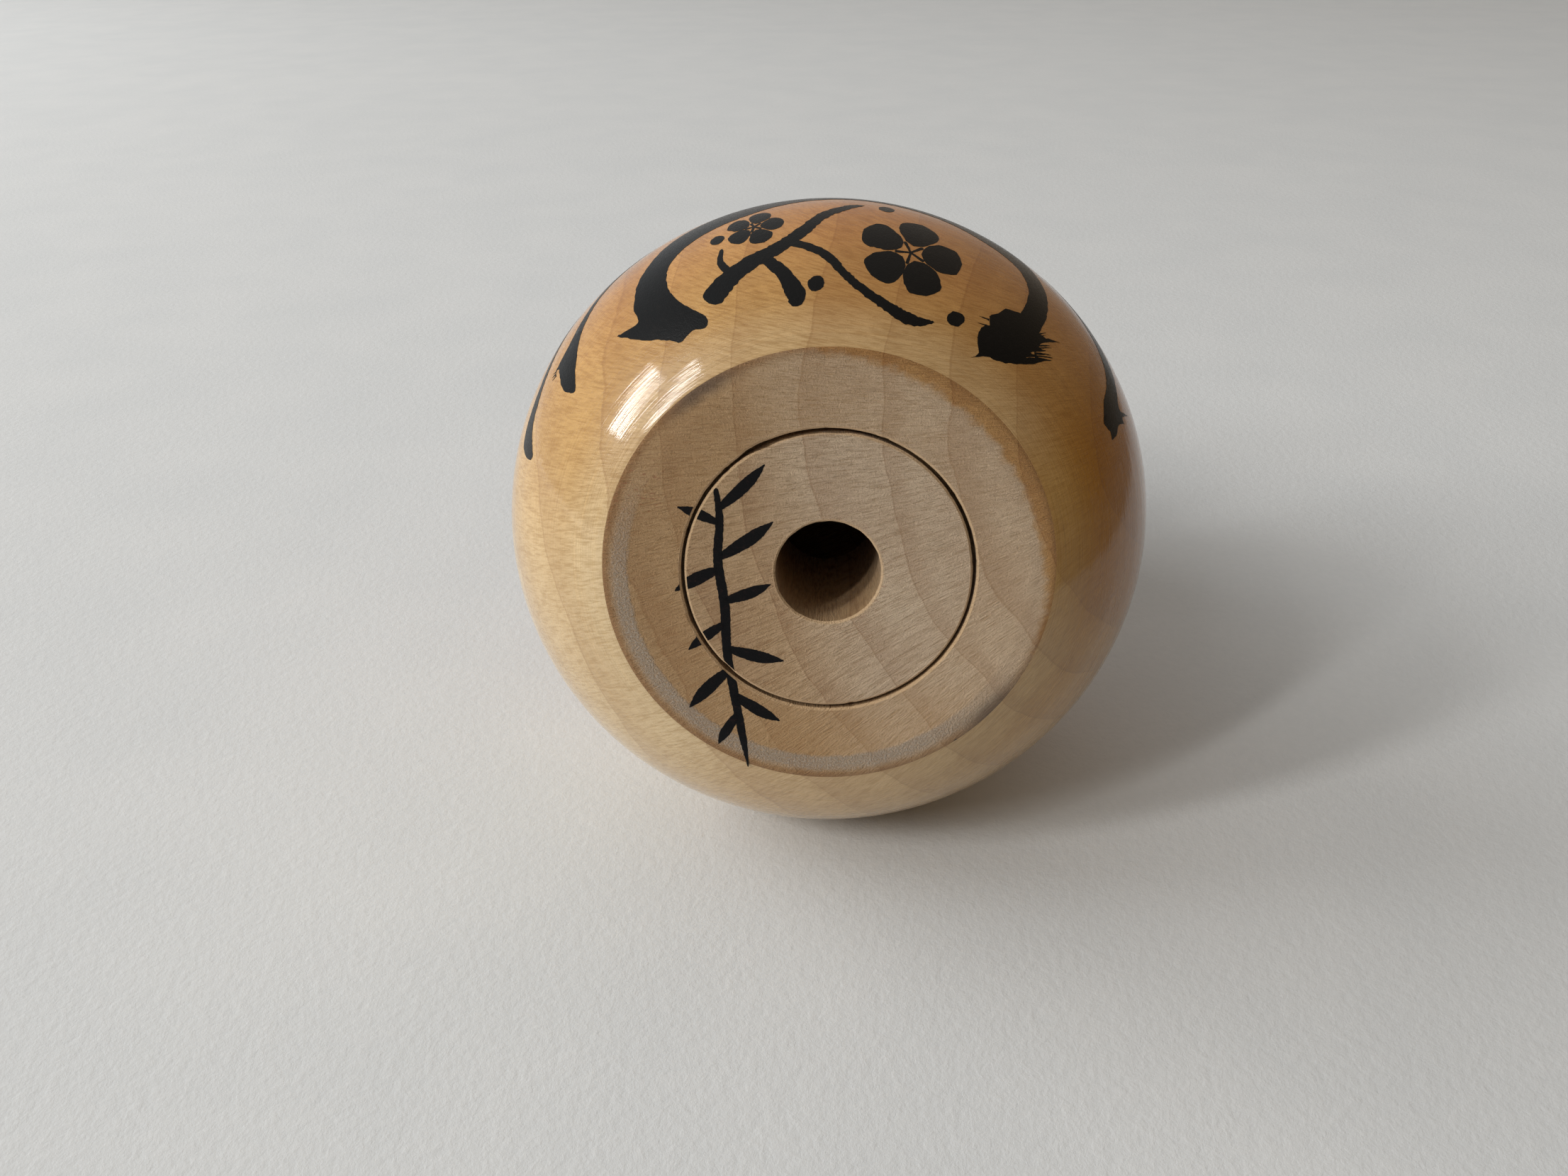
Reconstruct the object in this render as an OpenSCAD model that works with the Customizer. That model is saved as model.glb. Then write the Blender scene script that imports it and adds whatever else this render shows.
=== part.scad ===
// Round-bodied turned wooden kokeshi doll with a turning head and a bored plug in its base.
// Millimetres, +Z up. The origin is the centre of the standing ring, and the doll faces -Y.

/* [Body] */
// Largest diameter of the round body
body_d = 100; // [96:1:104]
// Height of the widest part above the standing ring
belly_z = 24.5; // [23:0.5:26]
// Radius of the edge where the flat base turns up into the belly
rim_r = 32.5; // [32:0.5:34]
// Height of that edge above the standing ring
rim_z = 0.4; // [0.2:0.1:0.8]
// Inner radius of the flat ring that the doll stands on
ring_in_r = 28.5; // [27:0.5:29.5]
// Outer radius of the flat ring that the doll stands on
ring_out_r = 31.8; // [31:0.1:31.9]
// Depth of the hollow turned into the base, at its centre
dish = 1.6; // [0.8:0.1:2]
// Radius of the flat seat that the head turns on
seat_r = 16.5; // [15.5:0.5:18]

/* [Base plug] */
// Radius of the plug in the part that guides it
plug_r = 20.65; // [19.5:0.05:21.5]
// Radial running clearance of the plug in its bore
plug_clear = 0.05; // [0.03:0.01:0.1]
// Width of the open seam round the plug's face
seam_w = 0.5; // [0.4:0.05:0.8]
// Depth to which the seam stays open
seam_z = 3.4; // [3:0.1:5]
// Height of the plug's inner end, where it meets the shoulder
plug_top = 31; // [28:0.5:31.5]
// Diameter of the finger hole through the plug
hole_d = 15; // [13:0.5:17]

/* [Chamber] */
// Radius of the chamber turned above the plug
chamber_r = 17; // [15:0.5:18]
// Height of the chamber's straight wall
chamber_wall = 7; // [5:0.5:7]
// Height of the chamber's domed roof
chamber_dome = 10; // [8:0.5:10]

/* [Head and neck] */
// Largest diameter of the head
head_d = 64; // [58:1:68]
// Half of the head's height
head_half = 30; // [28:0.5:31]
// Fullness of the head's outline, where 2 is an ellipse
head_full = 2.3; // [2:0.1:2.6]
// Radius of the short neck under the head
neck_r = 14; // [13:0.5:15]
// Height of the neck up to where it spreads into the cheeks
neck_h = 1.6; // [1.2:0.1:3]
// Gap between the head and its seat
neck_gap = 0.3; // [0.2:0.05:0.5]
// Diameter of the neck dowel
dowel_d = 12; // [10:0.5:14]
// Radial running clearance of the dowel in the body
dowel_clear = 0.05; // [0.03:0.01:0.1]
// Depth of the dowel's socket in the body
socket_depth = 16; // [12:0.5:16]
// Depth to which the dowel is glued into the head
glued_depth = 14; // [10:0.5:18]

/* [Edges] */
// Size of the broken edges round the seam, the hole and the dowel
edge = 0.3; // [0.15:0.05:0.35]

/* [Hidden] */
$fn = 96;

body_r = body_d / 2;
hole_r = hole_d / 2;
dowel_r = dowel_d / 2;
head_r = head_d / 2;

// The lower belly is a quarter of an ellipse round a circle of this radius, cut off at the rim
belly_core = 12;
belly_steps = 24;
belly_drop = (belly_z - rim_z) / sqrt(1 - pow((rim_r - belly_core) / (body_r - belly_core), 2));
rim_angle = asin((belly_z - rim_z) / belly_drop);

// The upper body is part of a sphere, cut off at the seat
shoulder_steps = 30;
seat_angle = acos(seat_r / body_r);
seat_z = belly_z + body_r * sin(seat_angle);

bore_r = plug_r + plug_clear;
seam_out_r = plug_r + seam_w / 2;
seam_in_r = plug_r - seam_w / 2;
chamber_roof = plug_top + chamber_wall + chamber_dome;
socket_z = seat_z - socket_depth;

head_base = seat_z + neck_gap;
neck_spread = 0.67;
head_start_r = 17;
head_steps = 40;
end_gap = 0.2;
dish_steps = 6;
dome_steps = 12;

function dish_z(r) = dish * (1 - pow(r / ring_in_r, 2));

function dish_points(r_from, r_to) =
    [for (i = [0:dish_steps]) let (r = r_from + (r_to - r_from) * i / dish_steps) [r, dish_z(r)]];

function arc_points(core, centre_z, half_w, half_h, from, to, steps) =
    [for (i = [0:steps]) let (a = from + (to - from) * i / steps)
        [core + half_w * cos(a), centre_z + half_h * sin(a)]];

// Half height of the head's outline at radius r
function head_rise(r) = head_half * pow(1 - pow(r / head_r, head_full), 1 / head_full);

head_z = head_base + neck_h + neck_spread + head_rise(head_start_r);

// The outline in polar form keeps the steps even round the head
function head_point(a) =
    let (s = pow(pow(abs(cos(a)) / head_r, head_full) + pow(abs(sin(a)) / head_half, head_full),
        -1 / head_full))
        [s * cos(a), head_z + s * sin(a)];

head_start_angle = -atan(head_rise(head_start_r) / head_start_r);

module turned(points) {
    rotate_extrude() polygon(points);
}

// Belly, shoulders, dished base, stepped plug bore, chamber and neck socket
module body() {
    color("BurlyWood") turned(concat(
        [[seam_out_r, dish_z(seam_out_r) + edge]],
        dish_points(seam_out_r + edge, ring_in_r),
        [[ring_out_r, 0]],
        arc_points(belly_core, belly_z, body_r - belly_core, belly_drop, -rim_angle, 0, belly_steps),
        arc_points(0, belly_z, body_r, body_r, seat_angle / shoulder_steps, seat_angle, shoulder_steps - 1),
        [[dowel_r + dowel_clear + edge, seat_z], [dowel_r + dowel_clear, seat_z - edge]],
        [[dowel_r + dowel_clear, socket_z], [0, socket_z], [0, chamber_roof]],
        arc_points(0, chamber_roof - chamber_dome, chamber_r, chamber_dome,
            90 - 90 / dome_steps, 0, dome_steps - 1),
        [[chamber_r, plug_top], [bore_r, plug_top], [bore_r, seam_z], [seam_out_r, seam_z]]
    ));
}

// Core of the base with the finger hole through it, guided in the bore and stopped by the shoulder
module base_plug() {
    color("Wheat") turned(concat(
        [[hole_r, dish_z(hole_r) + edge]],
        dish_points(hole_r + edge, seam_in_r - edge),
        [[seam_in_r, dish_z(seam_in_r) + edge], [seam_in_r, seam_z], [plug_r, seam_z]],
        [[plug_r, plug_top - end_gap - edge], [plug_r - edge, plug_top - end_gap]],
        [[hole_r, plug_top - end_gap]]
    ));
}

// Solid turned head with its short neck and the blind hole for the dowel
module head() {
    color("NavajoWhite") turned(concat(
        [[dowel_r, head_base], [neck_r, head_base], [neck_r, head_base + neck_h]],
        [for (i = [0:head_steps - 1])
            head_point(head_start_angle + (90 - head_start_angle) * i / head_steps)],
        [[0, head_z + head_half], [0, head_base + glued_depth], [dowel_r, head_base + glued_depth]]
    ));
}

// Dowel glued into the head, turning in the body's socket
module neck_dowel() {
    color("Peru") turned([
        [0, socket_z + end_gap],
        [dowel_r - edge, socket_z + end_gap],
        [dowel_r, socket_z + end_gap + edge],
        [dowel_r, head_base + glued_depth - edge],
        [dowel_r - edge, head_base + glued_depth],
        [0, head_base + glued_depth]
    ]);
}

body();
base_plug();
head();
neck_dowel();
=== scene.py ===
"""Round-bodied turned kokeshi doll: looks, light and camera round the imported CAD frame."""
import bpy
import math
import random
from bisect import bisect_left
from mathutils import Matrix, Vector
from mathutils.geometry import delaunay_2d_cdt


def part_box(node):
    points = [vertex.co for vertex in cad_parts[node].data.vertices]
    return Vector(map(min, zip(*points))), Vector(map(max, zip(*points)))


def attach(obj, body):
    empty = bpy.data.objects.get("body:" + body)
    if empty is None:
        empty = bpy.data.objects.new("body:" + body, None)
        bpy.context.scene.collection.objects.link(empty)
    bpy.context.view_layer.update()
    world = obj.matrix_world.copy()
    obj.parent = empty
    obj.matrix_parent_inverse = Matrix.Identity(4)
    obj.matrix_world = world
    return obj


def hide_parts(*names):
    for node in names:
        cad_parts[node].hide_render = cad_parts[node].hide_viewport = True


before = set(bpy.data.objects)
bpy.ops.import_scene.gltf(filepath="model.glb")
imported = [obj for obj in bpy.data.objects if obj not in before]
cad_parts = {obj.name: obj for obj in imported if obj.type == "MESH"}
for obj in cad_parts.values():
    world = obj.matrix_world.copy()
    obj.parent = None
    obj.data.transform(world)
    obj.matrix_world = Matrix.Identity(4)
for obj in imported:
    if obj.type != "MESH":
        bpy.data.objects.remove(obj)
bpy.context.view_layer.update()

# -------------------- sizes, in millimetres
MM = 0.001


def size_of(node):
    """Radius, lowest and highest point of a turned CAD node, in millimetres."""
    low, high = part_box(node)
    return high.x / MM, low.z / MM, high.z / MM


BODY_R, _, SEAT_Z = size_of("body")
PLUG_R, _, PLUG_TOP = size_of("base_plug")
HEAD_R, HEAD_Z0, HEAD_Z1 = size_of("head")
DOWEL_R, _, DOWEL_TOP = size_of("neck_dowel")

BELLY_Z = 24.5
RIM_R = 32.5
RIM_Z = 0.4
BELLY_CORE = 12.0
RING_IN = 28.5
RING_OUT = 31.8
DISH = 1.6
SEAM_W = 0.5
SEAM_Z = 3.4
HOLE_R = 7.5
CLEARANCE = 0.05
BORE_R = PLUG_R + CLEARANCE
SOCKET_R = DOWEL_R + CLEARANCE
SOCKET_DEPTH = 16.0
SOCKET_Z = SEAT_Z - SOCKET_DEPTH
END_GAP = 0.2
SHOULDER_Z = PLUG_TOP + END_GAP
CHAMBER_R = 17.0
CHAMBER_WALL = 7.0
CHAMBER_DOME = 10.0
HEAD_HALF = 30.0
HEAD_Z = HEAD_Z1 - HEAD_HALF
HEAD_FULL = 2.3
NECK_R = 14.0
NECK_H = 1.6
HEAD_START_R = 17.0
EDGE = 0.3
# The edges along the seam, and where the rolled corner of the base ends
FRESH_EDGE = 0.3
RIM_ROLL = RING_OUT - 0.5
SEGMENTS = 288
# Corners sharper than this, in degrees, are not smoothed over
SHARP = 28

# Heart of the tree that the doll was turned from, beside the turning axis
PITH = (65.0, -23.0)
PITH_DISTANCE = math.hypot(*PITH)


# -------------------- outlines
def dish_z(r):
    return DISH * (1 - (r / RING_IN) ** 2)


def line(a, b, steps):
    """Points from a to b, without a itself."""
    return [(a[0] + (b[0] - a[0]) * i / steps, a[1] + (b[1] - a[1]) * i / steps)
            for i in range(1, steps + 1)]


def arc(core, centre_z, half_w, half_h, start, end, steps):
    points = []
    for i in range(steps + 1):
        a = math.radians(start + (end - start) * i / steps)
        points.append((core + half_w * math.cos(a), centre_z + half_h * math.sin(a)))
    return points


def dish_line(r0, r1, steps):
    return [(r0 + (r1 - r0) * i / steps, dish_z(r0 + (r1 - r0) * i / steps)) for i in range(steps + 1)]


def belly_outline():
    """From the rim of the base up over the widest part to the seat of the head."""
    drop = (BELLY_Z - RIM_Z) / math.sqrt(1 - ((RIM_R - BELLY_CORE) / (BODY_R - BELLY_CORE)) ** 2)
    rim_angle = math.degrees(math.asin((BELLY_Z - RIM_Z) / drop))
    seat_angle = math.degrees(math.asin((SEAT_Z - BELLY_Z) / BODY_R))
    low = arc(BELLY_CORE, BELLY_Z, BODY_R - BELLY_CORE, drop, -rim_angle, 0, 60)
    high = arc(0, BELLY_Z, BODY_R, BODY_R, 0, seat_angle, 80)
    return low + high[1:]


def head_outline():
    """From the start of the cheek, just over the neck, up to the crown."""
    rise = HEAD_HALF * (1 - (HEAD_START_R / HEAD_R) ** HEAD_FULL) ** (1 / HEAD_FULL)
    start = -math.atan2(rise, HEAD_START_R)
    points = []
    for i in range(121):
        a = start + (math.pi / 2 - start) * i / 120
        c, s = abs(math.cos(a)) / HEAD_R, abs(math.sin(a)) / HEAD_HALF
        k = (c ** HEAD_FULL + s ** HEAD_FULL) ** (-1 / HEAD_FULL)
        points.append((max(0.0, k * math.cos(a)), HEAD_Z + k * math.sin(a)))
    return points


BELLY = belly_outline()
CHEEK = head_outline()


class Skin:
    """A turned surface, addressed by azimuth in degrees (0 is the front, 90 is +X) and by the distance
    in millimetres along its outline."""

    def __init__(self, outline):
        self.outline = outline
        self.along = [0.0]
        for (r0, z0), (r1, z1) in zip(outline, outline[1:]):
            self.along.append(self.along[-1] + math.hypot(r1 - r0, z1 - z0))
        self.length = self.along[-1]

    def section(self, v):
        """Radius, height and outward slope of the outline at distance v."""
        i = min(max(bisect_left(self.along, v), 1), len(self.along) - 1)
        t = (v - self.along[i - 1]) / (self.along[i] - self.along[i - 1])
        (r0, z0), (r1, z1) = self.outline[i - 1], self.outline[i]
        d = math.hypot(r1 - r0, z1 - z0)
        return r0 + (r1 - r0) * t, z0 + (z1 - z0) * t, (z1 - z0) / d, -(r1 - r0) / d

    def place(self, azimuth, v, lift):
        r, z, nr, nz = self.section(v)
        a = math.radians(azimuth)
        r, z = max(0.0, r + nr * lift), z + nz * lift
        return Vector((r * math.sin(a), -r * math.cos(a), z)) * MM

    def scale(self, v):
        """Millimetres per degree of azimuth."""
        return max(0.02, self.section(v)[0] * math.pi / 180)

    def at_height(self, z):
        """Distance along the outline where it reaches height z."""
        for i in range(1, len(self.outline)):
            z0, z1 = self.outline[i - 1][1], self.outline[i][1]
            if z0 <= z <= z1:
                part = (z - z0) / max(1e-9, z1 - z0)
                return self.along[i - 1] + (self.along[i] - self.along[i - 1]) * part
        return self.length


class Base:
    """The dished underside, addressed by X and Y in millimetres."""

    def place(self, x, y, lift):
        return Vector((x, y, max(0.0, dish_z(math.hypot(x, y))) - lift)) * MM

    def scale(self, _):
        return 1.0


belly_skin = Skin(BELLY)
head_skin = Skin(CHEEK)
base_skin = Base()


# -------------------- mesh helpers
def add_object(name, verts, faces, materials, face_materials=None):
    mesh = bpy.data.meshes.new(name)
    mesh.from_pydata(verts, [], faces)
    for m in materials:
        mesh.materials.append(m)
    if face_materials:
        mesh.polygons.foreach_set("material_index", face_materials)
    mesh.polygons.foreach_set("use_smooth", [True] * len(faces))
    mesh.update()
    mesh.set_sharp_from_angle(angle=math.radians(SHARP))
    obj = bpy.data.objects.new(name, mesh)
    bpy.context.scene.collection.objects.link(obj)
    return obj


def turned(name, sections, materials, body, node, closed=False, wobble=None):
    """Turns an outline about Z. sections is a list of (material index, [(r, z), ...]), joined end to
    end. wobble moves a point in or out, from its (r, z) and its angle."""
    outline, strip = [], []
    for index, points in sections:
        for p in points:
            if outline and math.hypot(p[0] - outline[-1][0], p[1] - outline[-1][1]) < 1e-6:
                continue
            outline.append(p)
            strip.append(index)
    count = len(outline)
    verts, rings = [], []
    for r, z in outline:
        if r < 1e-6:
            rings.append([len(verts)] * SEGMENTS)
            verts.append(Vector((0, 0, z)) * MM)
            continue
        ring = []
        for s in range(SEGMENTS):
            a = 2 * math.pi * s / SEGMENTS
            rr = r + (wobble(r, z, a) if wobble else 0.0)
            ring.append(len(verts))
            verts.append(Vector((rr * math.sin(a), -rr * math.cos(a), z)) * MM)
        rings.append(ring)
    faces, face_materials = [], []
    pairs = [(k, k + 1) for k in range(count - 1)] + ([(count - 1, 0)] if closed else [])
    for k0, k1 in pairs:
        for s in range(SEGMENTS):
            t = (s + 1) % SEGMENTS
            faces.append(list(dict.fromkeys([rings[k0][s], rings[k0][t], rings[k1][t], rings[k1][s]])))
            face_materials.append(strip[k1])
    obj = add_object(name, verts, faces, materials, face_materials)
    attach(obj, body)
    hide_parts(node)
    return obj


def between(points, t):
    """Catmull-Rom curve through four points, at t from 0 to 1 between the second and the third."""
    return [0.5 * (2 * b + (c - a) * t + (2 * a - 5 * b + 4 * c - d) * t * t
                   + (3 * b - a - 3 * c + d) * t ** 3)
            for a, b, c, d in zip(*points)]


def spline(points, step):
    """Curve through (a, v, width) points, with about one sample every step along it."""
    samples = []
    padded = [points[0]] + list(points) + [points[-1]]
    for four in zip(padded, padded[1:], padded[2:], padded[3:]):
        _, p, q, _ = four
        n = max(2, int(math.hypot(q[0] - p[0], q[1] - p[1]) / step))
        samples += [between(four, i / n) for i in range(n)]
    samples.append(list(points[-1]))
    return samples


class Ink:
    """Collects brush strokes as thin closed ribbons that lie on a skin, from LOW in the wood to HIGH
    over it, with ACROSS faces across."""

    HIGH, LOW = 0.03, -0.12
    ACROSS = 4

    def __init__(self, skin, seed):
        self.skin = skin
        self.verts, self.faces = [], []
        self.random = random.Random(seed)

    def stroke(self, points, rough=0.05, cap=True, keep=None, step=0.45, lift=0.0):
        samples = spline(points, step)
        if cap:
            samples = self.rounded(samples)
        rows = []
        for i, (a, v, width) in enumerate(samples):
            before, after = samples[max(0, i - 1)], samples[min(len(samples) - 1, i + 1)]
            k = self.skin.scale(v)
            du, dv = (after[0] - before[0]) * k, after[1] - before[1]
            d = math.hypot(du, dv) or 1.0
            nu, nv = -dv / d, du / d
            left, right = (max(0.01, width / 2 + self.random.uniform(-rough, rough)) for _ in range(2))
            across = [-left + (left + right) * j / self.ACROSS for j in range(self.ACROSS + 1)]
            rows.append([(a + nu * off / k, v + nv * off, self.HIGH + lift) for off in across])
        for part in self.runs(rows, keep):
            self.skin_over(part)

    @staticmethod
    def rounded(samples):
        """Draws both ends in to round brush ends."""
        ends = [max(s[2] / 2, 0.05) for s in (samples[0], samples[-1])]
        total = [0.0]
        for p, q in zip(samples, samples[1:]):
            total.append(total[-1] + math.hypot(q[0] - p[0], q[1] - p[1]))
        for s, here in zip(samples, total):
            for reach, d in ((ends[0], here), (ends[1], total[-1] - here)):
                if d < reach:
                    s[2] *= math.sqrt(max(0.0, 1 - (1 - d / reach) ** 2))
        return samples

    def runs(self, rows, keep):
        """Splits the rows where keep, a function of (a, v), says that the skin ends, and draws their
        points back to its edge."""
        if keep is None:
            return [rows]
        parts = [[]]
        for row in rows:
            moved = [keep(a, v) for a, v, _ in row]
            middle = moved[len(row) // 2]
            if middle is None:
                parts.append([])
            else:
                parts[-1].append([(*(m or middle), h) for m, (_, _, h) in zip(moved, row)])
        return [part for part in parts if len(part) > 1]

    def skin_over(self, rows):
        """Adds a closed ribbon: the rows on top, and two lines under its edges."""
        start, width = len(self.verts), self.ACROSS + 1
        for row in rows:
            for a, v, h in row:
                self.verts.append(self.skin.place(a, v, h))
            for a, v, _ in (row[0], row[-1]):
                self.verts.append(self.skin.place(a, v, self.LOW))
        loop = list(range(width)) + [width + 1, width]
        stride = len(loop)
        last = start + (len(rows) - 1) * stride
        for p in range(start, last, stride):
            q = p + stride
            for m, n in zip(loop, loop[1:] + loop[:1]):
                self.faces.append([p + m, p + n, q + n, q + m])
        self.faces.append([start + m for m in reversed(loop)])
        self.faces.append([last + m for m in loop])

    def blot(self, outline, rough=0.08, step=0.45, grid=1.0):
        """A filled shape. outline is a closed loop of (a, v), and a third value of 1 marks a corner."""
        loop = []
        n = len(outline)
        for i in range(n):
            p0, p1, p2, p3 = (outline[(i + j) % n] for j in (-1, 0, 1, 2))
            start = p1 if len(p1) > 2 else p0
            end = p2 if len(p2) > 2 else p3
            k = self.skin.scale(p1[1])
            count = max(1, int(math.hypot((p2[0] - p1[0]) * k, p2[1] - p1[1]) / step))
            for m in range(count):
                loop.append(between((start[:2], p1[:2], p2[:2], end[:2]), m / count))
        middle = sum(v for _, v in loop) / len(loop)
        k = self.skin.scale(middle)
        flat = []
        for a, v in loop:
            shift = self.random.uniform(-rough, rough)
            flat.append(Vector((a * k + shift, v + self.random.uniform(-rough, rough))))
        edges = [(i, (i + 1) % len(flat)) for i in range(len(flat))]
        low = [min(p[i] for p in flat) for i in (0, 1)]
        high = [max(p[i] for p in flat) for i in (0, 1)]
        for i in range(1, int((high[0] - low[0]) / grid) + 1):
            for j in range(1, int((high[1] - low[1]) / grid) + 1):
                flat.append(Vector((low[0] + i * grid, low[1] + j * grid)))
        points, _, faces, *_ = delaunay_2d_cdt(flat, edges, [], 1, 1e-4)
        top, under = len(self.verts), len(self.verts) + len(points)
        for lift in (self.HIGH, self.LOW):
            for p in points:
                self.verts.append(self.skin.place(p.x / k, p.y, lift))
        used = {}
        for face in faces:
            self.faces.append([top + i for i in face])
            self.faces.append([under + i for i in reversed(face)])
            used.update(dict.fromkeys(zip(face, list(face[1:]) + [face[0]])))
        for a, b in used:
            if (b, a) not in used:
                self.faces.append([top + b, top + a, under + a, under + b])

    def away(self, a, v, degrees, distance):
        """The place on the skin at a distance from (a, v), in a direction."""
        angle = math.radians(degrees)
        return a + math.cos(angle) * distance / self.skin.scale(v), v + math.sin(angle) * distance

    def band(self, below_top, width, rough):
        """A turned line all the way round, at a distance below the end of the outline."""
        v = self.skin.length - below_top
        self.stroke([(10 * i, v, width) for i in range(-18, 19)], rough, cap=False, step=2.0)

    def bristles(self, root, towards, spread, length, count, width):
        """Dry-brush hairs that leave root, an (a, v, width), in a fan."""
        for i in range(count):
            f = (i + 0.5) / count - 0.5
            angle = towards + f * spread + self.random.uniform(-3, 3)
            reach = length * self.random.uniform(0.55, 1.0)
            start = self.away(root[0], root[1], angle + 90, f * root[2])
            path = []
            for t, w in ((0, 1.0), (0.35, 0.8), (0.7, 0.5), (1, 0.06)):
                a, _ = self.away(start[0], root[1], angle, reach * t)
                v = start[1] + math.sin(math.radians(angle)) * reach * t + 0.12 * length * t * t * f
                path.append((a, v, width * w * self.random.uniform(0.7, 1.3)))
            self.stroke(path, rough=0.03, cap=False, step=0.3)

    def finish(self, name, material, body):
        obj = add_object(name, self.verts, self.faces, [material])
        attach(obj, body)
        return obj


# -------------------- node helpers
class Nodes:
    """A small writer of shader node trees."""

    def __init__(self, tree):
        self.tree = tree

    def feed(self, socket, value):
        if isinstance(value, bpy.types.NodeSocket):
            self.tree.links.new(value, socket)
        elif value is not None:
            socket.default_value = value

    def math(self, op, a, b=None, c=None):
        node = self.tree.nodes.new("ShaderNodeMath")
        node.operation = op
        for socket, value in zip(node.inputs, (a, b, c)):
            self.feed(socket, value)
        return node.outputs[0]

    def vector(self, op, a, b=None):
        node = self.tree.nodes.new("ShaderNodeVectorMath")
        node.operation = op
        self.feed(node.inputs[0], a)
        if op == "SCALE":
            self.feed(node.inputs["Scale"], b)
        else:
            self.feed(node.inputs[1], b)
        return node.outputs["Value" if op in ("LENGTH", "DISTANCE", "DOT_PRODUCT") else "Vector"]

    def combine(self, x, y, z):
        node = self.tree.nodes.new("ShaderNodeCombineXYZ")
        for socket, value in zip(node.inputs, (x, y, z)):
            self.feed(socket, value)
        return node.outputs[0]

    def separate(self, v):
        node = self.tree.nodes.new("ShaderNodeSeparateXYZ")
        self.feed(node.inputs[0], v)
        return node.outputs

    def times(self, first, *others):
        for other in others:
            first = self.math("MULTIPLY", first, other)
        return first

    def plus(self, first, *others):
        for other in others:
            first = self.math("ADD", first, other)
        return first

    def noise(self, v, detail=2.0, rough=0.5):
        node = self.tree.nodes.new("ShaderNodeTexNoise")
        self.feed(node.inputs["Vector"], v)
        node.inputs["Scale"].default_value = 1.0
        node.inputs["Detail"].default_value = detail
        node.inputs["Roughness"].default_value = rough
        return node.outputs["Fac"]

    def range(self, value, low, high, to_low=0.0, to_high=1.0, shape="SMOOTHSTEP"):
        """Maps value from low..high to to_low..to_high."""
        node = self.tree.nodes.new("ShaderNodeMapRange")
        node.interpolation_type = shape
        for socket, v in zip(node.inputs, (value, low, high, to_low, to_high)):
            self.feed(socket, v)
        return node.outputs[0]

    def mix(self, fac, a, b, blend="MIX"):
        node = self.tree.nodes.new("ShaderNodeMix")
        node.data_type = "RGBA"
        node.blend_type = blend
        self.feed(node.inputs[0], fac)
        for socket, value in ((node.inputs[6], a), (node.inputs[7], b)):
            self.feed(socket, value if isinstance(value, bpy.types.NodeSocket) else (*value, 1.0))
        return node.outputs[2]

    def tint(self, fac, colour, by):
        return self.mix(fac, colour, by, "MULTIPLY")


class Graph(Nodes):
    """A material with one Principled shader."""

    def __init__(self, name):
        self.material = bpy.data.materials.new(name)
        self.material.use_nodes = True
        super().__init__(self.material.node_tree)
        self.tree.nodes.clear()
        self.shader = self.tree.nodes.new("ShaderNodeBsdfPrincipled")
        self.out = self.tree.nodes.new("ShaderNodeOutputMaterial")
        self.tree.links.new(self.shader.outputs[0], self.out.inputs[0])

    def shade(self, values):
        """Sets or feeds the shader's inputs by name."""
        for name, value in values.items():
            self.feed(self.shader.inputs[name], value)

    def bump(self, height, distance):
        node = self.tree.nodes.new("ShaderNodeBump")
        node.inputs["Distance"].default_value = distance
        self.feed(node.inputs["Height"], height)
        return node.outputs[0]

    def here(self):
        """Place on the piece in millimetres."""
        coord = self.tree.nodes.new("ShaderNodeTexCoord")
        return self.vector("SCALE", coord.outputs["Object"], 1 / MM)


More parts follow.
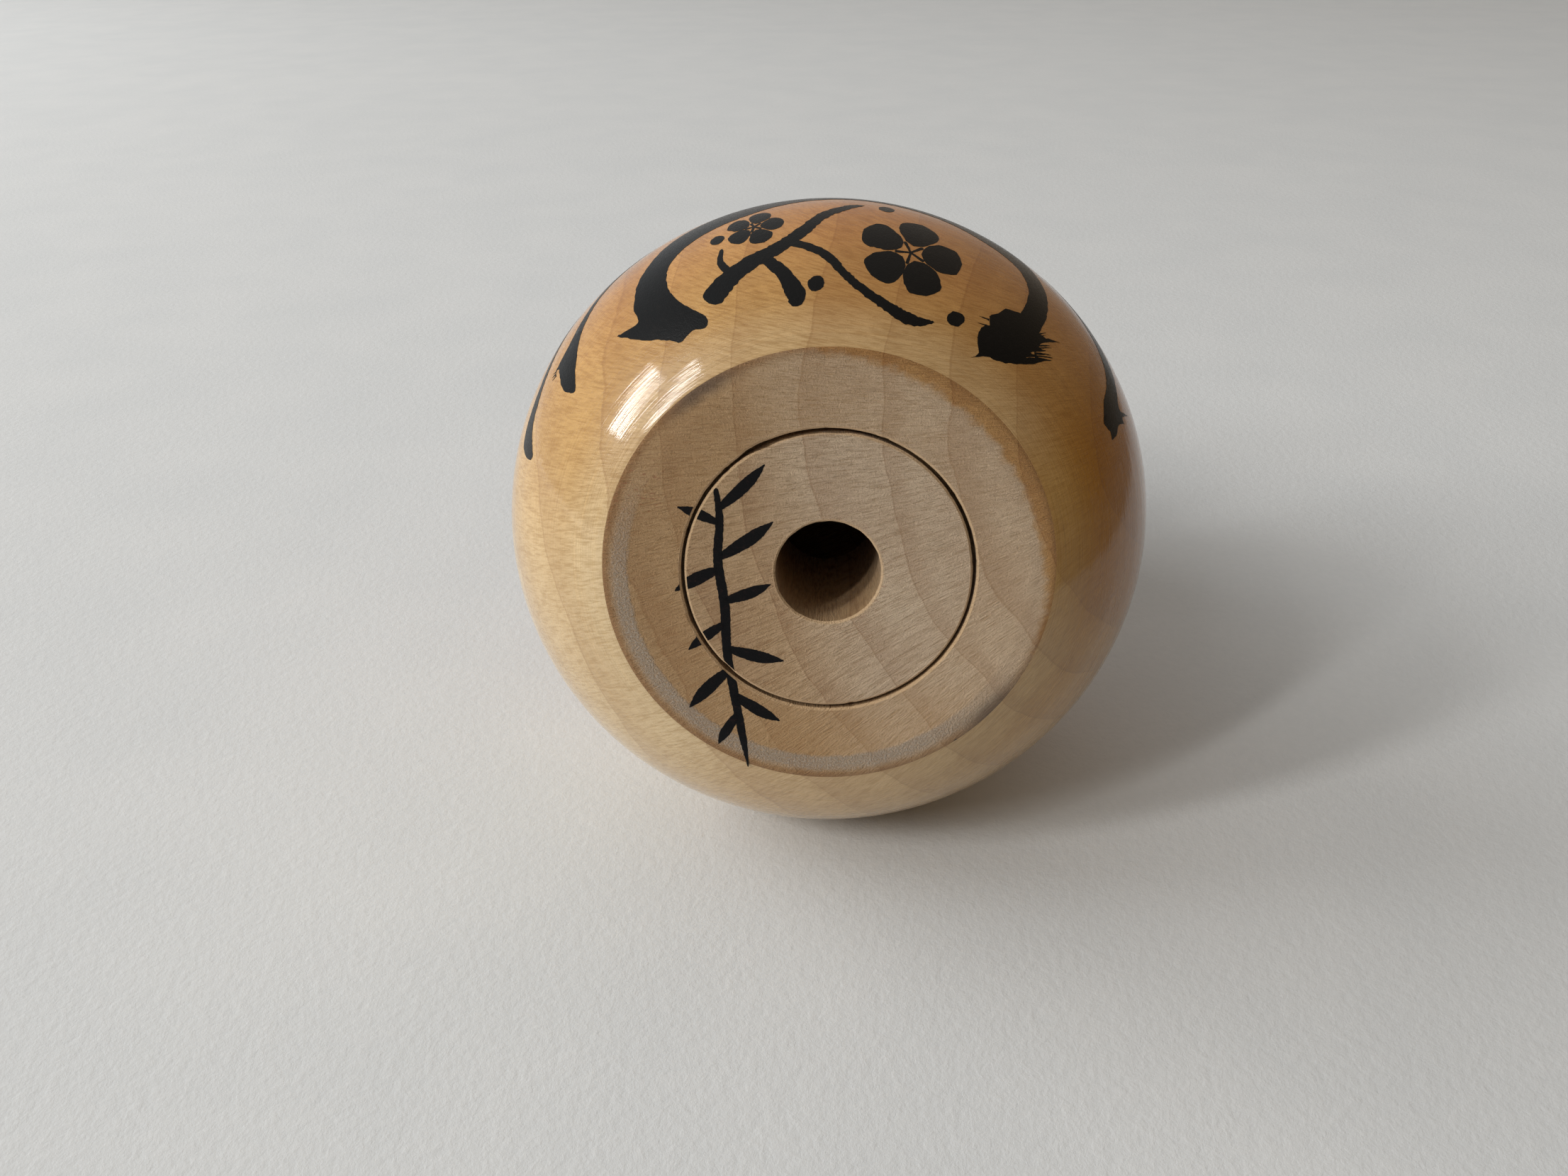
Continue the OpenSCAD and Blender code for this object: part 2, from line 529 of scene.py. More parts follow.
# -------------------- wood
class Wood(Graph):
    """Solid wood figure: growth rings round the pith, rays that leave it and fibres along Z. raw is the
    place on the doll and spot the place in the log, radius the distance from the turning axis, and out
    the direction away from it."""

    RING = 9.6

    def __init__(self, name, offset=(0.0, 0.0, 0.0)):
        super().__init__(name)
        self.raw = self.here()
        self.spot = self.vector("ADD", self.raw, offset)
        from_pith = self.vector("MULTIPLY", self.vector("SUBTRACT", self.spot, (*PITH, 0.0)), (1, 1, 0))
        self.rho = self.vector("LENGTH", from_pith)
        px, py, _ = self.separate(from_pith)
        self.theta = self.math("ARCTAN2", py, px)
        self.x, self.y, self.z = self.separate(self.raw)
        level = self.vector("MULTIPLY", self.raw, (1, 1, 0))
        self.radius = self.vector("LENGTH", level)
        self.out = self.vector("NORMALIZE", level)

    def rings(self):
        """0 in early wood, rising to 1 at the thin dark line that ends each year."""
        uneven = self.noise(self.combine(self.times(self.rho, 0.06), 0.0, 0.0))
        sway = self.noise(self.vector("MULTIPLY", self.spot, (0.05, 0.05, 0.012)))
        ragged = self.noise(self.vector("MULTIPLY", self.spot, (0.9, 0.9, 0.25)))
        phase = self.math("DIVIDE", self.rho, self.RING)
        for amount, value in ((1.2, uneven), (0.55, sway), (0.03, ragged)):
            phase = self.math("MULTIPLY_ADD", value, amount, phase)
        year = self.math("FRACT", phase)
        late = self.range(year, 0.40, 0.97, 0.0, 0.52)
        thin = self.range(year, 0.94, 0.985, 0.0, 1.0)
        gone = self.range(year, 0.985, 1.0, 1.0, 0.0)
        return self.times(self.math("MAXIMUM", late, thin), gone)

    def rays(self, width, length, height):
        turn = self.times(self.theta, PITH_DISTANCE / width)
        v = self.combine(turn, self.math("DIVIDE", self.rho, length), self.math("DIVIDE", self.z, height))
        return self.noise(v, 2.0, 0.65)

    def fibres(self, across, along=6.0, detail=2.0):
        return self.noise(self.vector("MULTIPLY", self.spot, (1 / across, 1 / across, 1 / along)), detail)

    def turning(self, ball, width, around, detail=2.0, rough=0.5):
        """Lathe marks, width across in millimetres, on a ball given by its middle's height and its
        radius. A larger around breaks them more often."""
        middle, radius = ball
        tilt = self.math("ARCTAN2", self.math("SUBTRACT", self.z, middle), self.radius)
        across = self.combine(0.0, 0.0, self.times(tilt, radius / width))
        place = self.vector("ADD", self.vector("SCALE", self.out, around), across)
        return self.noise(place, detail, rough)

    def clouds(self, size=14.0):
        return self.noise(self.vector("SCALE", self.spot, 1 / size))


def bare_wood(name, light, dark, line_colour, offset=(0.0, 0.0, 0.0), foot=False):
    """Sanded unfinished wood. foot adds what wear and finishing left on the underside, and painted shade
    and painted highlights there.
    """
    w = Wood(name, offset)
    rings = w.rings()
    rays = w.rays(0.15, 2.2, 2.4)
    coarse = w.rays(0.5, 8.0, 5.0)
    fibres = w.fibres(0.12)
    streak = w.plus(w.times(rays, 0.72), w.times(coarse, 0.28))
    colour = w.mix(w.range(streak, 0.33, 0.58), dark, light)
    colour = w.mix(w.times(w.range(fibres, 0.62, 0.8), 0.35), colour, dark)
    colour = w.mix(w.times(w.range(w.clouds(), 0.35, 0.65), 0.20), colour, line_colour)
    colour = w.mix(w.times(rings, 0.60), colour, line_colour)
    height = w.plus(rays, w.times(fibres, 0.45))
    rough = w.range(streak, 0.3, 0.7, 0.60, 0.46)
    if foot:
        colour, height = foot_wear_and_painted_light(w, colour, height)
    w.shade({"Base Color": colour, "Roughness": rough, "Specular IOR Level": 0.35,
             "Sheen Weight": 0.15, "Sheen Roughness": 0.4, "Normal": w.bump(height, 0.00032)})
    return w.material


def foot_wear_and_painted_light(w, colour, height):
    """The left side darker and warmer as painted shade, the wood outside the plug browner and darker
    on the left as painted shade, the burnished whitish ring with a painted sheen on its lower left, the
    lacquer that ran over the edge, the brown edge itself, grey smudges, specks of red pigment, the
    new-cut edges of the seam and the hole lighter with a painted highlight, a dot and fine pits,
    darkened as painted shade."""
    # Darker and warmer towards the left of the base: painted shade
    shade_side_lean = w.math("MULTIPLY_ADD", w.y, -0.25, w.x)
    colour = w.tint(w.range(shade_side_lean, 5.0, -12.0), colour, (0.85, 0.74, 0.59))
    # Browner outside the plug, more to the left and to the bottom: partly the wood's colour, and on the
    # left painted shade
    outer_brown_and_shade = w.math("MAXIMUM", w.range(w.x, 26.0, -12.0, 0.18, 0.38), w.range(w.y, 6.0, 27.0, 0.0, 0.44))
    outer_brown_and_shade = w.times(w.range(w.radius, PLUG_R - 0.2, PLUG_R + 0.2), outer_brown_and_shade)
    colour = w.mix(outer_brown_and_shade, colour, (0.55, 0.30, 0.105))
    speckle = w.noise(w.vector("SCALE", w.raw, 3.2), 3.0, 0.7)
    ragged = w.noise(w.vector("SCALE", w.raw, 0.5), 3.0, 0.6)
    reach = w.plus(w.radius, w.times(w.math("SUBTRACT", ragged, 0.5), 0.8))
    band = w.times(w.range(reach, 28.1, 28.7), w.range(reach, 29.9, 31.4, 1.0, 0.0))
    # The burnished ring is real, but it is lightened only on its lower left: a painted sheen
    side = w.math("SUBTRACT", w.times(w.y, 0.9), w.times(w.x, 0.5))
    burnish_and_sheen = w.times(band, w.range(side, -4.0, 20.0), w.range(speckle, 0.38, 0.64, 0.25, 0.75))
    colour = w.mix(burnish_and_sheen, colour, (0.82, 0.70, 0.58))
    towards = w.vector("DOT_PRODUCT", w.raw, (0.15, -0.12, 0.0))
    ran = w.range(w.plus(reach, towards, w.times(ragged, 2.4)), 35.2, 37.0)
    worn = w.times(w.range(reach, 30.3, 31.8), w.math("MULTIPLY_ADD", ran, -0.7, 1.0))
    colour = w.tint(worn, colour, (0.66, 0.57, 0.47))
    colour = w.tint(ran, colour, (0.84, 0.62, 0.33))

    def near(x, y, far, close):
        return w.range(w.vector("DISTANCE", w.raw, (x, y, 0.3)), far, close)

    grime = w.math("MAXIMUM", near(24.0, 21.0, 9.0, 1.0), near(-17.0, -26.0, 8.0, 1.0))
    smudge = w.times(grime, w.range(reach, 29.3, 31.2), 0.6)
    colour = w.mix(smudge, colour, (0.10, 0.085, 0.075))
    by_hole = w.times(w.range(w.radius, 9.6, 7.8), w.range(w.x, -3.0, 6.0), 0.8)
    flecks = w.noise(w.vector("MULTIPLY", w.raw, (0.9, 1.8, 1.0)), 3.0, 0.7)
    red_near = w.math("MAXIMUM", near(-26.0, -13.0, 7.0, 2.0), by_hole)
    colour = w.mix(w.times(red_near, w.range(flecks, 0.56, 0.68), 0.55), colour, (0.36, 0.085, 0.03))
    # Lighter seam and hole edges: new-cut wood at the chips, and a painted highlight on the edges
    from_seam = w.math("ABSOLUTE", w.math("SUBTRACT", w.radius, PLUG_R))
    fresh_and_highlit = w.math("MAXIMUM", w.range(from_seam, 0.70, 0.5), w.range(w.radius, HOLE_R + 0.6, HOLE_R + 0.2))
    colour = w.mix(w.times(fresh_and_highlit, 0.8), colour, (0.84, 0.58, 0.33))
    colour = w.mix(near(19.0, 25.8, 0.42, 0.28), colour, (0.03, 0.012, 0.008))
    # Darker in the low spots of the pitted bump: painted shade
    colour = w.tint(w.range(speckle, 0.52, 0.34, 0.0, 0.22), colour, (0.70, 0.62, 0.52))
    return colour, w.plus(height, w.times(w.plus(burnish_and_sheen, 0.55), speckle, 1.5))


def lacquered_wood(name, ball, light, dark, line_colour, stain, stain_low, stain_high,
                   offset=(0.0, 0.0, 0.0), cheeks=False):
    """Turned wood under clear gloss, with a wiped stain that grows from stain_low to stain_high in Z."""
    w = Wood(name, offset)
    rings = w.rings()
    rays = w.rays(0.20, 2.4, 1.7)
    broad = w.rays(1.0, 6.0, 5.0)
    fibres = w.fibres(0.17, 3.2, 3.0)
    figure = w.plus(w.times(rays, 0.75), w.times(broad, 0.25))
    colour = w.mix(w.range(figure, 0.32, 0.62), dark, light)
    colour = w.mix(w.times(w.range(fibres, 0.50, 0.72), 0.40), colour, dark)
    colour = w.mix(w.times(w.range(w.clouds(22.0), 0.35, 0.68), 0.16), colour, line_colour)
    colour = w.mix(w.times(rings, 0.42), colour, line_colour)
    wipe = w.noise(w.vector("MULTIPLY", w.raw, (0.05, 0.05, 0.09)), 3.0)
    facing = w.vector("DOT_PRODUCT", w.raw, (0.18, -0.42, 0.0))
    reach = w.plus(w.z, facing, w.times(w.math("SUBTRACT", wipe, 0.5), 14.0))
    taken = w.times(w.range(reach, stain_low, stain_high), w.range(fibres, 0.3, 0.75, 0.82, 1.0))
    colour = w.tint(taken, colour, stain)
    colour = blush(w, colour) if cheeks else film_gold_and_painted_sides(w, colour)
    lathe = w.turning(ball, 0.3, 1.3, 2.0, 0.55)
    swell = w.turning(ball, 2.9, 0.8)
    lines = w.turning(ball, 0.9, 0.5, 3.0, 0.6)
    scratches = w.turning(ball, 0.2, 2.0, 1.0)
    colour = w.tint(w.range(lines, 0.54, 0.70, 0.0, 0.30), colour, (1.16, 1.14, 1.08))
    colour = w.tint(w.range(lines, 0.46, 0.32, 0.0, 0.30), colour, (0.86, 0.82, 0.76))
    film = w.plus(w.times(lathe, 0.17), w.times(swell, 0.6))
    height = w.plus(film, w.times(fibres, 0.25), w.times(rays, 0.45), w.times(scratches, 0.4))
    w.shade({"Base Color": colour, "Roughness": w.range(lathe, 0.35, 0.65, 0.26, 0.38),
             "Specular IOR Level": 0.30, "Normal": w.bump(height, 0.00012),
             "Coat Weight": 0.9, "Coat Roughness": 0.07, "Coat IOR": 1.45,
             "Coat Normal": w.bump(film, 0.00010)})
    return w.material


def film_gold_and_painted_sides(w, colour):
    """Old lacquer: gold over the front, deeper on the doll's left, partly the lacquer and partly painted
    shade, darker and greyer behind it as painted shade, and lighter and bluer on the right as painted
    light and painted reflection."""
    def facing(x, y, low, high=1.0, least=0.0):
        return w.range(w.vector("DOT_PRODUCT", w.out, (x, y, 0)), low, high, least, 1.0)

    belt = w.times(w.range(w.z, 0.5, 4.5, 0.3, 1.0), w.range(w.z, 17.0, 28.0, 1.0, 0.3))
    colour = w.tint(w.times(facing(0.5, -0.866, -0.75, 0.10, 0.2), belt), colour, (0.84, 0.68, 0.42))
    # Deeper gold-brown on the doll's left, away from the lamps: partly the lacquer, partly painted shade
    left = w.times(facing(0.985, -0.174, 0.85), w.range(w.z, 0.5, 6.0, 0.6, 1.0))
    colour = w.tint(left, colour, (0.84, 0.65, 0.20))
    # Darker and greyer behind the doll's left: painted shade
    colour = w.tint(facing(0.91, 0.42, 0.6), colour, (0.84, 0.83, 0.78))
    # Lighter and bluer on the doll's right, towards the window: painted light and painted reflection
    return w.tint(facing(-0.94, 0.34, 0.55), colour, (1.08, 1.16, 1.28))


def blush(w, colour):
    """A faint rubbed red on both cheeks."""
    sides = w.combine(w.math("ABSOLUTE", w.x), w.y, w.z)
    for_cheek = w.range(w.vector("DISTANCE", sides, (18.5, -24.0, HEAD_Z - 11.0)), 9.5, 1.0)
    return w.mix(w.times(for_cheek, 0.42), colour, (0.78, 0.20, 0.12))


def ink_material(name, colour, thin, roughness, coat, specular, strands=False):
    """Brushed ink, denser and thinner from place to place, or in strands that fall from the crown."""
    g = Graph(name)
    spot = g.here()
    if strands:
        out = g.vector("NORMALIZE", g.vector("MULTIPLY", spot, (1, 1, 0)))
        fall = g.vector("MULTIPLY", spot, (0.0, 0.0, 0.06))
        dense = g.noise(g.vector("ADD", g.vector("SCALE", out, 22.0), fall), 3.0, 0.7)
        grain = g.noise(g.vector("ADD", g.vector("SCALE", out, 60.0), fall))
    else:
        dense = g.noise(g.vector("MULTIPLY", spot, (1.4, 1.4, 0.9)), 4.0, 0.65)
        grain = g.noise(g.vector("MULTIPLY", spot, (6.0, 6.0, 1.2)))
    g.shade({"Base Color": g.mix(g.range(dense, 0.52, 0.78), colour, thin),
             "Roughness": g.range(grain, 0.3, 0.7, roughness - 0.06, roughness + 0.08),
             "Specular IOR Level": specular, "Coat Weight": coat, "Coat Roughness": 0.14,
             "Normal": g.bump(g.plus(grain, dense), 0.00004)})
    return g.material


BARE_LIGHT = (0.86, 0.67, 0.475)
BARE_DARK = (0.57, 0.40, 0.25)
BARE_LINE = (0.46, 0.27, 0.15)
foot_wood = bare_wood("foot_wood", BARE_LIGHT, BARE_DARK, BARE_LINE, foot=True)
# A darker copy of the bare wood for the bores, the seam's walls, the hole and the sockets: painted shade
shaded_inner_wood = bare_wood("shaded_inner_wood", (0.50, 0.33, 0.17), (0.33, 0.20, 0.10), (0.26, 0.13, 0.05))
dowel_wood = bare_wood("dowel_wood", (0.50, 0.33, 0.18), (0.36, 0.22, 0.11), (0.25, 0.13, 0.06),
                       offset=(30.0, 12.0, 5.0))
body_gloss = lacquered_wood("body_gloss", (BELLY_Z, BODY_R), (0.76, 0.54, 0.285), (0.56, 0.36, 0.16),
                            (0.38, 0.20, 0.075), (0.88, 0.51, 0.23), 8.0, 54.0)
head_gloss = lacquered_wood("head_gloss", (HEAD_Z, HEAD_R), (0.78, 0.60, 0.37), (0.68, 0.49, 0.27),
                            (0.50, 0.31, 0.15), (1.0, 0.96, 0.90), 60.0, 150.0, offset=(7.0, 31.0, 40.0),
                            cheeks=True)
black_gloss = ink_material("black_gloss", (0.003, 0.003, 0.003), (0.009, 0.007, 0.006), 0.36, 0.30, 0.15)
hair_gloss = ink_material("hair_gloss", (0.003, 0.003, 0.003), (0.016, 0.013, 0.012), 0.36, 0.30, 0.20,
                          strands=True)
black_flat = ink_material("black_flat", (0.003, 0.003, 0.004), (0.022, 0.010, 0.010), 0.50, 0.0, 0.20)
red_gloss = ink_material("red_gloss", (0.45, 0.035, 0.02), (0.60, 0.10, 0.04), 0.34, 0.8, 0.4)

# -------------------- turned pieces
seam_out = PLUG_R + SEAM_W / 2
seam_in = PLUG_R - SEAM_W / 2
# Chips along the seam, each with the angle of its middle, half its angle and its depth
chip = random.Random(4)
CHIPS = [(chip.uniform(0, 2 * math.pi), chip.uniform(0.02, 0.09), chip.uniform(0.0, 0.14))
         for _ in range(26)]
# The longer split at the front
SPLIT = [(-0.40 + 0.15 * i, 0.12, 0.24) for i in range(4)]


def chipped(outline_r, inward, chips):
    """Wobble of the edges at radius outline_r on the base, where the seam is chipped, and of the
    hole's edge."""
    def wobble(r, z, a):
        if z > DISH + FRESH_EDGE:
            return 0.0
        total = 0.0
        if abs(r - outline_r) < FRESH_EDGE + 0.05:
            total = 0.025 * math.sin(7 * a + 1) * math.sin(3 * a)
            for centre, half, depth in chips:
                d = abs((a - centre + math.pi) % (2 * math.pi) - math.pi) / half
                if d < 1:
                    total += depth * (1 - d * d) ** 2
        elif abs(r - HOLE_R) < 0.05:
            total = -0.03 * (1 + math.sin(17 * a) * math.sin(5 * a + 2))
        return -total if inward else total
    return wobble


def rolled_edge():
    """Softened corner from the belly's edge to the standing ring."""
    (r0, z0), (r1, z1) = BELLY[0], BELLY[1]
    corner = r0 - z0 * (r1 - r0) / (z1 - z0)
    points = []
    for i in range(1, 9):
        t = i / 8
        r = (1 - t) ** 2 * RIM_R + 2 * t * (1 - t) * corner + t * t * RIM_ROLL
        points.append((r, (1 - t) ** 2 * RIM_Z))
    return points


BODY_EDGE = (seam_out, dish_z(seam_out) + FRESH_EDGE)
CHAMBER_Z = SHOULDER_Z + CHAMBER_WALL
body_sections = [
    (2, [(0, SOCKET_Z), (SOCKET_R, SOCKET_Z)] + line((SOCKET_R, SOCKET_Z), (SOCKET_R, SEAT_Z - EDGE), 6)),
    (0, [(SOCKET_R + EDGE, SEAT_Z)] + line((SOCKET_R + EDGE, SEAT_Z), BELLY[-1], 10)),
    (0, BELLY[::-1]),
    (0, [p for p in rolled_edge() if p[0] > RING_OUT]),
    (1, [p for p in rolled_edge() if p[0] <= RING_OUT]),
    (1, line((RIM_ROLL, 0), (RING_IN, 0), 4) + dish_line(RING_IN, seam_out + FRESH_EDGE, 14)),
    (1, [BODY_EDGE]),
    (2, line(BODY_EDGE, (seam_out, SEAM_Z), 4) + [(BORE_R, SEAM_Z)]),
    (2, line((BORE_R, SEAM_Z), (BORE_R, SHOULDER_Z), 12)),
    (2, line((BORE_R, SHOULDER_Z), (CHAMBER_R, SHOULDER_Z), 3)),
    (2, line((CHAMBER_R, SHOULDER_Z), (CHAMBER_R, CHAMBER_Z), 4)),
    (2, arc(0, CHAMBER_Z, CHAMBER_R, CHAMBER_DOME, 0, 90, 20)[:-1] + [(0.0, CHAMBER_Z + CHAMBER_DOME)]),
]
turned("body_turned", body_sections, [body_gloss, foot_wood, shaded_inner_wood], "body", "body",
       wobble=chipped(seam_out, False, CHIPS))

PLUG_EDGE = (seam_in, dish_z(seam_in) + FRESH_EDGE)
plug_sections = [
    (0, dish_line(HOLE_R + EDGE, seam_in - FRESH_EDGE, 20) + [PLUG_EDGE]),
    (1, line(PLUG_EDGE, (seam_in, SEAM_Z), 4) + [(PLUG_R, SEAM_Z)]),
    (1, line((PLUG_R, SEAM_Z), (PLUG_R, PLUG_TOP - EDGE), 12) + [(PLUG_R - EDGE, PLUG_TOP)]),
    (1, line((PLUG_R - EDGE, PLUG_TOP), (HOLE_R, PLUG_TOP), 8)),
    (1, line((HOLE_R, PLUG_TOP), (HOLE_R, dish_z(HOLE_R) + EDGE), 30)),
    (0, [(HOLE_R + EDGE, dish_z(HOLE_R + EDGE))]),
]
turned("plug_turned", plug_sections, [foot_wood, shaded_inner_wood], "plug", "base_plug", closed=True,
       wobble=chipped(seam_in, True, CHIPS[:12] + SPLIT))

NECK_TOP = HEAD_Z0 + NECK_H
head_sections = [
    (0, CHEEK[::-1]),
    (0, arc(HEAD_START_R, NECK_TOP, HEAD_START_R - NECK_R, CHEEK[0][1] - NECK_TOP, 90, 180, 8)),
    (0, line((NECK_R, NECK_TOP), (NECK_R, HEAD_Z0 + EDGE), 3) + [(NECK_R - EDGE, HEAD_Z0)]),
    (1, line((NECK_R - EDGE, HEAD_Z0), (DOWEL_R, HEAD_Z0), 4)),
    (1, line((DOWEL_R, HEAD_Z0), (DOWEL_R, DOWEL_TOP), 6) + [(0, DOWEL_TOP)]),
]
turned("head_turned", head_sections, [head_gloss, shaded_inner_wood], "head", "head")

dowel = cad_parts["neck_dowel"]
dowel.data.materials.clear()
dowel.data.materials.append(dowel_wood)

# -------------------- robe lines on the belly
robe = Ink(belly_skin, 11)
# First fold: a thick arch over the sprig that ends in two pressed-down brush feet
robe.blot([
    (-32, 6.2), (-33.4, 7.2), (-39, 10.6), (-42.4, 14.0, 1), (-37.6, 13.2), (-37.2, 15.6), (-36, 18),
    (-34.6, 20.4), (-31.4, 23.6), (-28, 26.4), (-24, 28.6), (-17, 30.8), (-8, 32.8), (2, 33.8),
    (12, 33.6), (22, 32.4), (30, 31.0), (35, 28.6), (38, 25.6), (40.4, 21.6), (41.6, 17.6),
    (41.8, 13.7, 1), (43.4, 14.0), (46.2, 15.6, 1), (43.6, 13.2), (43, 11.8), (44.6, 12.0, 1),
    (42.3, 10.0), (44.8, 10.9, 1), (42, 8.8), (46.6, 11.8, 1), (43.9, 8.8), (40.9, 6.8), (38, 5.5),
    (35, 4.9), (32.3, 3.6, 1), (33.2, 4.7), (31.6, 6.2), (31.3, 8.2), (32.6, 9.3, 1), (31.9, 10.6),
    (33.4, 12.1, 1), (34, 13.3), (35.2, 13.7), (36.9, 14.4, 1), (37.1, 17.0), (36.6, 20.0),
    (34.6, 22.8), (31.4, 24.6), (26, 26.0), (20, 27.6), (12, 28.8), (3, 29.2), (-6, 27.6), (-13, 25.6),
    (-20, 24.1), (-25, 22.2), (-28.2, 19.8), (-29.4, 17.6), (-29.8, 15.4), (-29.2, 13.0), (-27.8, 10.6),
    (-26, 8.8), (-24.9, 7.4), (-26, 6.2), (-28.6, 6.8),
])
robe.bristles((42.2, 11.0, 3.6), 50, 14, 3.4, 10, 0.32)
robe.bristles((32.6, 8.0, 5.0), 200, 30, 1.6, 5, 0.3)
# Second fold, thinner
robe.blot([
    (-53.0, 16.0), (-55.2, 13.7), (-56.3, 14.3), (-57.0, 16.6), (-55.4, 20.6), (-56.2, 21.2, 1),
    (-53.4, 21.8), (-50.4, 22.9), (-45.6, 25.8), (-40, 29.7), (-32, 34.2), (-22, 38.6), (-10, 41.7),
    (2, 42.7), (14, 41.7), (26, 38.5), (36, 34.5), (45, 30.7), (52, 28.0), (58, 24.8), (60.6, 22.5),
    (62.5, 20.4), (64.2, 20.0), (66.2, 22.4, 1), (65.2, 19.8), (66.4, 19.6, 1), (65.6, 17.4),
    (66.6, 16.2), (66.8, 14.4, 1), (65.2, 14.7), (63.1, 14.1), (61.4, 15.2), (59.9, 16.6), (58.9, 18.8),
    (57, 21.4), (54.2, 23.8), (50, 26.4), (45, 29.0), (36, 32.8), (26, 36.3), (14, 39.1), (2, 39.9),
    (-10, 38.9), (-22, 35.9), (-32, 31.8), (-40, 27.9), (-44.6, 24.6), (-48.4, 21.2), (-50.6, 18.6),
])
robe.bristles((-56.4, 20.6, 1.2), 150, 30, 1.3, 3, 0.3)
# Third fold, thinnest, up on the shoulders
robe.blot([
    (-69.6, 18.2), (-71.2, 17.2), (-72.4, 18.2), (-71.6, 21.2), (-69.2, 22.6), (-61, 24.4), (-54, 28.0),
    (-48, 32.6), (-40, 39.8), (-30, 46.6), (-17, 51.9), (-2, 53.9), (14, 52.4), (28, 47.6), (40, 40.9),
    (52, 35.2), (63, 32.2), (72, 31.9), (77.4, 32.8, 1), (75.6, 30.2), (72, 29.3), (62, 30.3),
    (51, 33.8), (40, 39.2), (28, 45.4), (14, 49.9), (-2, 51.3), (-17, 49.3), (-30, 44.5), (-40, 38.2),
    (-48, 31.2), (-55.4, 25.6), (-62, 22.2), (-66.6, 20.4),
])
# Turned bands round the neck
robe.band(21.0, 1.3, 0.02)
robe.band(26.5, 0.7, 0.02)
robe.finish("robe_lines", black_gloss, "body")

bands = Ink(belly_skin, 12)
bands.band(23.8, 2.6, 0.03)
bands.finish("neck_band", red_gloss, "body")

# -------------------- plum sprig on the belly
sprig = Ink(belly_skin, 21)
# A petal's width at distances from the eye, both for a blossom of size 1
PETAL = ((0.5, 0.60), (0.9, 1.24), (1.35, 1.72), (1.8, 1.80), (2.2, 1.48), (2.45, 0.84))
PETALS = 5


def blossom(ink, azimuth, v, size, turn):
    """Brushed petals round a clear eye, with short stamens between them."""
    for i in range(PETALS):
        angle = turn + 360 / PETALS * i
        petal = [(*ink.away(azimuth, v, angle, out * size), width * size * ink.random.uniform(0.92, 1.06))
                 for out, width in PETAL]
        ink.stroke(petal, rough=0.09)
        tip = ink.away(azimuth, v, angle + 180 / PETALS, 0.75 * size)
        ink.stroke([(azimuth, v, 0.3), (*tip, 0.5)], rough=0.03, step=0.2)


sprig.stroke([(-23.6, 9.4, 3.6), (-20, 11.4, 3.2), (-15, 13.4, 2.6), (-9, 15.2, 2.2), (-4.5, 18.0, 1.9),
              (-1, 21.6, 1.7), (3.5, 24.8, 1.3), (6, 26.0, 0.3)], rough=0.12)
sprig.stroke([(-12, 14.2, 1.6), (-8.6, 10.6, 2.0), (-6.6, 7.0, 2.6), (-7.6, 5.4, 1.2)], rough=0.1)
sprig.stroke([(-7, 16.2, 1.4), (-1, 13.4, 1.3), (4, 9.2, 1.2), (10, 6.4, 1.4), (17, 4.8, 1.7),
              (22, 5.6, 0.3)], rough=0.1)
sprig.stroke([(-18, 12.4, 1.2), (-19.4, 15.4, 1.0), (-18.6, 18.0, 0.5)], rough=0.06)
blossom(sprig, 14.5, 15.4, 3.0, 82)
blossom(sprig, -12.6, 21.0, 1.75, 70)
BUDS = ((-19.0, 19.4, 95, 2.2), (-1.6, 9.6, 240, 2.6), (24.4, 6.6, 40, 2.6), (8.4, 25.2, 20, 2.4))
for azimuth, v, angle, length in BUDS:
    middle, tip = (sprig.away(azimuth, v, angle, length * part) for part in (0.5, 1))
    sprig.stroke([(azimuth, v, 1.0), (*middle, 2.2), (*tip, 1.0)], rough=0.06, step=0.25)
sprig.finish("belly_sprig", black_gloss, "body")


# -------------------- pen sprig on the base
def one_side(edge, outward):
    """Keeps ink on the outer side of the seam's edge, or on the inner side where outward is -1. It
    draws back the points that lie over the gap."""
    limit = edge + outward * FRESH_EDGE

    def keep(x, y):
        r = math.hypot(x, y)
        if (r - limit) * outward >= 0:
            return x, y
        return (x * limit / r, y * limit / r) if (r - edge) * outward > -SEAM_W else None
    return keep


STEM = [(-15.6, -12.6, 0.7), (-15.2, -8, 1.1), (-15.6, -2, 1.3), (-14.8, 5, 1.4), (-14.6, 12, 1.3),
        (-13.6, 19, 1.3), (-12.6, 25, 1.1), (-11.8, 30.2, 0.2)]
# Leaves: where each leaves the stem, its direction in the base's plane, its length and its width
LEAVES = [(-15.3, -9.6, -38, 9.0, 1.7), (-15.3, -7.4, 210, 6.2, 1.5), (-15.4, -2.4, -28, 9.2, 1.9),
          (-15.5, -0.6, 160, 7.0, 1.9), (-15.0, 4.2, -14, 7.2, 1.7), (-14.8, 7.6, 150, 6.6, 1.6),
          (-14.6, 11.4, 20, 8.4, 1.8), (-14.2, 14.6, 142, 8.4, 1.9), (-13.7, 18.6, 38, 7.8, 1.7),
          (-13.2, 21.6, 128, 5.6, 1.5)]

